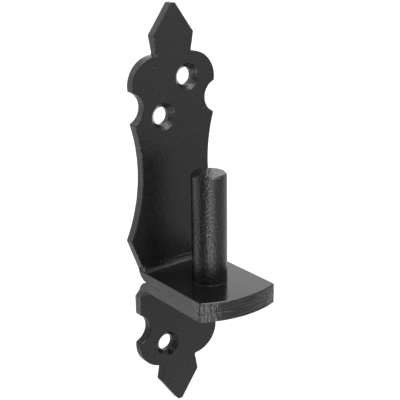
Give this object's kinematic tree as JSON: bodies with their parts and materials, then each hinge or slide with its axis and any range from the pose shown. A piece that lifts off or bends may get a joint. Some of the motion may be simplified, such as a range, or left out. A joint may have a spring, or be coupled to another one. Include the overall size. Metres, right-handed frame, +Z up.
{
  "type": "gate hinge pin",
  "caption": "Upright round hinge pin on a thick shelf, carried by a wall plate with spear and lobe ends and countersunk screw holes.",
  "frame": {"origin": "on the pin's axis, at the top of the shelf that it stands on", "axes": "+Z up the pin, +Y towards the wall, +X to the right seen from the front"},
  "size_m": [0.0506, 0.0539, 0.1941],
  "materials": {
    "black_coat": "satin black powder coat with a fine orange peel"
  },
  "bodies": {
    "root": {"upper_strap": "black_coat", "lower_strap": "black_coat", "hinge_pin": "black_coat", "edge_welds": "black_coat"}
  },
  "joints": []
}
